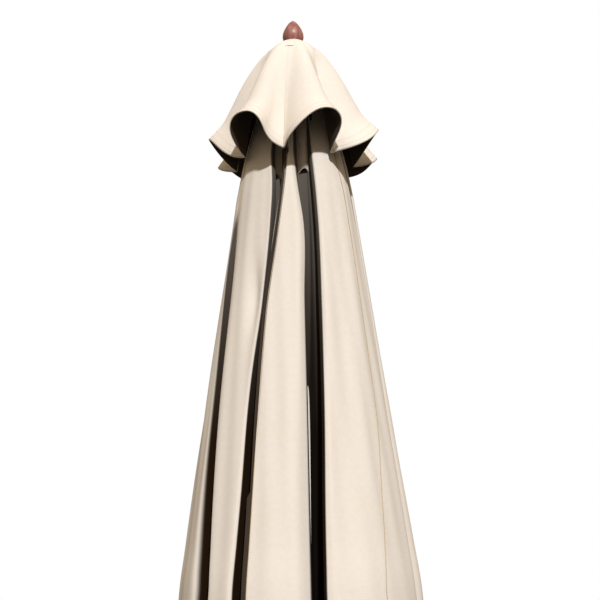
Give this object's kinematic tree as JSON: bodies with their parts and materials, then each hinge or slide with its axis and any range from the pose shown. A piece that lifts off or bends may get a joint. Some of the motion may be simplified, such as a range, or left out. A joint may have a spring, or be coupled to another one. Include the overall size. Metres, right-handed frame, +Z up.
{
  "type": "patio umbrella with base",
  "caption": "Market umbrella with a vented cloth canopy gathered closed on wooden ribs, a crank-lifted runner, a turned finial and a round weighted base.",
  "frame": {"origin": "on the ground under the pole's axis, at the centre of the base's underside", "axes": "+Z up along the pole; ribs at multiples of 45 degrees from +X, the crank's arm on the +X side, the base's clamp knob on the -Y side"},
  "size_m": [0.532, 0.532, 2.5],
  "materials": {
    "wood": "satin mahogany stain",
    "canopy": "woven cream polyester",
    "brass": "satin",
    "steel": "zinc plated",
    "bronze_paint": "textured powder coat",
    "base": "cast resin stone, bronze tint",
    "rubber": "matt",
    "plastic": "moulded nylon",
    "knob": "moulded",
    "alloy": "bronze powder coat on die-cast alloy"
  },
  "bodies": {
    "base": {"base_plate": "base", "base_feet": "rubber", "stem_flange": "bronze_paint", "stem_bolts": "steel", "stem_tube": "bronze_paint", "stem_bushings": "plastic", "clamp_nut": "bronze_paint"},
    "clamp_knob": {"clamp_knob": "knob"},
    "pole": {"pole_lower": "wood", "pole_foot": "plastic", "pole_upper": "wood", "pole_ferrule": "brass", "hub": "wood", "hub_pins": "steel", "crown_spacer": "wood", "crown_patch": "canopy", "finial": "wood", "finial_stud": "steel", "crank_housing_front": "alloy", "crank_housing_back": "alloy", "crank_housing_screws": "steel"},
    "crank": {"crank_spool": "steel", "crank_arm": "alloy", "crank_fastenings": "steel"},
    "crank_knob": {"crank_knob": "knob"},
    "runner": {"runner": "wood", "runner_pins": "steel"},
    "rib_1": {"rib_1": "wood"},
    "strut_1": {"strut_1": "wood"},
    "gore_1": {"main_gore_1": "canopy", "vent_gore_1": "canopy"},
    "rib_2": {"rib_2": "wood"},
    "strut_2": {"strut_2": "wood"},
    "gore_2": {"main_gore_2": "canopy", "vent_gore_2": "canopy"},
    "rib_3": {"rib_3": "wood"},
    "strut_3": {"strut_3": "wood"},
    "gore_3": {"main_gore_3": "canopy", "vent_gore_3": "canopy"},
    "rib_4": {"rib_4": "wood"},
    "strut_4": {"strut_4": "wood"},
    "gore_4": {"main_gore_4": "canopy", "vent_gore_4": "canopy"},
    "rib_5": {"rib_5": "wood"},
    "strut_5": {"strut_5": "wood"},
    "gore_5": {"main_gore_5": "canopy", "vent_gore_5": "canopy"},
    "rib_6": {"rib_6": "wood"},
    "strut_6": {"strut_6": "wood"},
    "gore_6": {"main_gore_6": "canopy", "vent_gore_6": "canopy"},
    "rib_7": {"rib_7": "wood"},
    "strut_7": {"strut_7": "wood"},
    "gore_7": {"main_gore_7": "canopy", "vent_gore_7": "canopy"},
    "rib_8": {"rib_8": "wood"},
    "strut_8": {"strut_8": "wood"},
    "gore_8": {"main_gore_8": "canopy", "vent_gore_8": "canopy"}
  },
  "joints": [
    {"name": "pole_lift", "type": "slide", "parent": "base", "child": "pole", "axis": [0, 0, 1], "range_m": [0, 0.37]},
    {"name": "clamp_knob_turn", "type": "hinge", "parent": "base", "child": "clamp_knob", "pos_m": [0, -0.045, 0.372], "axis": [0, -1, 0], "range_deg": [0, 720]},
    {"name": "canopy_open", "type": "hinge", "parent": "pole", "child": "rib_1", "pos_m": [0.034, 0, 2.391], "axis": [0, -1, 0], "range_deg": [0, 68]},
    {"name": "rib_2_open", "type": "hinge", "parent": "pole", "child": "rib_2", "pos_m": [0.02404, 0.02404, 2.391], "axis": [0.7071, -0.7071, 0], "range_deg": [0, 68]},
    {"name": "rib_3_open", "type": "hinge", "parent": "pole", "child": "rib_3", "pos_m": [0, 0.034, 2.391], "axis": [1, 0, 0], "range_deg": [0, 68]},
    {"name": "rib_4_open", "type": "hinge", "parent": "pole", "child": "rib_4", "pos_m": [-0.02404, 0.02404, 2.391], "axis": [0.7071, 0.7071, 0], "range_deg": [0, 68]},
    {"name": "rib_5_open", "type": "hinge", "parent": "pole", "child": "rib_5", "pos_m": [-0.034, 0, 2.391], "axis": [0, 1, 0], "range_deg": [0, 68]},
    {"name": "rib_6_open", "type": "hinge", "parent": "pole", "child": "rib_6", "pos_m": [-0.02404, -0.02404, 2.391], "axis": [-0.7071, 0.7071, 0], "range_deg": [0, 68]},
    {"name": "rib_7_open", "type": "hinge", "parent": "pole", "child": "rib_7", "pos_m": [0, -0.034, 2.391], "axis": [-1, 0, 0], "range_deg": [0, 68]},
    {"name": "rib_8_open", "type": "hinge", "parent": "pole", "child": "rib_8", "pos_m": [0.02404, -0.02404, 2.391], "axis": [-0.7071, -0.7071, 0], "range_deg": [0, 68]},
    {"name": "strut_1_fold", "type": "hinge", "parent": "rib_1", "child": "strut_1", "pos_m": [0.034, 0, 1.831], "axis": [0, -1, 0], "range_deg": [-136, 0]},
    {"name": "strut_2_fold", "type": "hinge", "parent": "rib_2", "child": "strut_2", "pos_m": [0.02404, 0.02404, 1.831], "axis": [0.7071, -0.7071, 0], "range_deg": [-136, 0]},
    {"name": "strut_3_fold", "type": "hinge", "parent": "rib_3", "child": "strut_3", "pos_m": [0, 0.034, 1.831], "axis": [1, 0, 0], "range_deg": [-136, 0]},
    {"name": "strut_4_fold", "type": "hinge", "parent": "rib_4", "child": "strut_4", "pos_m": [-0.02404, 0.02404, 1.831], "axis": [0.7071, 0.7071, 0], "range_deg": [-136, 0]},
    {"name": "strut_5_fold", "type": "hinge", "parent": "rib_5", "child": "strut_5", "pos_m": [-0.034, 0, 1.831], "axis": [0, 1, 0], "range_deg": [-136, 0]},
    {"name": "strut_6_fold", "type": "hinge", "parent": "rib_6", "child": "strut_6", "pos_m": [-0.02404, -0.02404, 1.831], "axis": [-0.7071, 0.7071, 0], "range_deg": [-136, 0]},
    {"name": "strut_7_fold", "type": "hinge", "parent": "rib_7", "child": "strut_7", "pos_m": [0, -0.034, 1.831], "axis": [-1, 0, 0], "range_deg": [-136, 0]},
    {"name": "strut_8_fold", "type": "hinge", "parent": "rib_8", "child": "strut_8", "pos_m": [0.02404, -0.02404, 1.831], "axis": [-0.7071, -0.7071, 0], "range_deg": [-136, 0]},
    {"name": "runner_rise", "type": "hinge", "parent": "strut_1", "child": "runner", "pos_m": [0.034, 0, 1.271], "axis": [0, -1, 0], "range_deg": [0, 68]},
    {"name": "gore_1_spread", "type": "hinge", "parent": "rib_1", "child": "gore_1", "pos_m": [0.034, 0.01408, 2.391], "axis": [0.7841, 0.3248, -0.5289], "range_deg": [0, 49.43]},
    {"name": "gore_2_spread", "type": "hinge", "parent": "rib_2", "child": "gore_2", "pos_m": [0.01408, 0.034, 2.391], "axis": [0.3248, 0.7841, -0.5289], "range_deg": [0, 49.43]},
    {"name": "gore_3_spread", "type": "hinge", "parent": "rib_3", "child": "gore_3", "pos_m": [-0.01408, 0.034, 2.391], "axis": [-0.3248, 0.7841, -0.5289], "range_deg": [0, 49.43]},
    {"name": "gore_4_spread", "type": "hinge", "parent": "rib_4", "child": "gore_4", "pos_m": [-0.034, 0.01408, 2.391], "axis": [-0.7841, 0.3248, -0.5289], "range_deg": [0, 49.43]},
    {"name": "gore_5_spread", "type": "hinge", "parent": "rib_5", "child": "gore_5", "pos_m": [-0.034, -0.01408, 2.391], "axis": [-0.7841, -0.3248, -0.5289], "range_deg": [0, 49.43]},
    {"name": "gore_6_spread", "type": "hinge", "parent": "rib_6", "child": "gore_6", "pos_m": [-0.01408, -0.034, 2.391], "axis": [-0.3248, -0.7841, -0.5289], "range_deg": [0, 49.43]},
    {"name": "gore_7_spread", "type": "hinge", "parent": "rib_7", "child": "gore_7", "pos_m": [0.01408, -0.034, 2.391], "axis": [0.3248, -0.7841, -0.5289], "range_deg": [0, 49.43]},
    {"name": "gore_8_spread", "type": "hinge", "parent": "rib_8", "child": "gore_8", "pos_m": [0.034, -0.01408, 2.391], "axis": [0.7841, -0.3248, -0.5289], "range_deg": [0, 49.43]},
    {"name": "crank_turn", "type": "hinge", "parent": "pole", "child": "crank", "pos_m": [0.04, 0, 0.88], "axis": [1, 0, 0], "range_deg": [0, 3240]},
    {"name": "crank_knob_spin", "type": "hinge", "parent": "crank", "child": "crank_knob", "pos_m": [0.06, 0, 0.79], "axis": [1, 0, 0], "continuous": true}
  ],
  "couplings": [
    {"joint": "rib_2_open", "follows": "canopy_open", "ratio": 1},
    {"joint": "rib_3_open", "follows": "canopy_open", "ratio": 1},
    {"joint": "rib_4_open", "follows": "canopy_open", "ratio": 1},
    {"joint": "rib_5_open", "follows": "canopy_open", "ratio": 1},
    {"joint": "rib_6_open", "follows": "canopy_open", "ratio": 1},
    {"joint": "rib_7_open", "follows": "canopy_open", "ratio": 1},
    {"joint": "rib_8_open", "follows": "canopy_open", "ratio": 1},
    {"joint": "strut_1_fold", "follows": "canopy_open", "ratio": -2},
    {"joint": "strut_2_fold", "follows": "canopy_open", "ratio": -2},
    {"joint": "strut_3_fold", "follows": "canopy_open", "ratio": -2},
    {"joint": "strut_4_fold", "follows": "canopy_open", "ratio": -2},
    {"joint": "strut_5_fold", "follows": "canopy_open", "ratio": -2},
    {"joint": "strut_6_fold", "follows": "canopy_open", "ratio": -2},
    {"joint": "strut_7_fold", "follows": "canopy_open", "ratio": -2},
    {"joint": "strut_8_fold", "follows": "canopy_open", "ratio": -2},
    {"joint": "runner_rise", "follows": "canopy_open", "ratio": 1},
    {"joint": "gore_1_spread", "follows": "canopy_open", "ratio": 0.72685},
    {"joint": "gore_2_spread", "follows": "canopy_open", "ratio": 0.72685},
    {"joint": "gore_3_spread", "follows": "canopy_open", "ratio": 0.72685},
    {"joint": "gore_4_spread", "follows": "canopy_open", "ratio": 0.72685},
    {"joint": "gore_5_spread", "follows": "canopy_open", "ratio": 0.72685},
    {"joint": "gore_6_spread", "follows": "canopy_open", "ratio": 0.72685},
    {"joint": "gore_7_spread", "follows": "canopy_open", "ratio": 0.72685},
    {"joint": "gore_8_spread", "follows": "canopy_open", "ratio": 0.72685},
    {"joint": "crank_turn", "follows": "canopy_open", "ratio": 47.647}
  ]
}
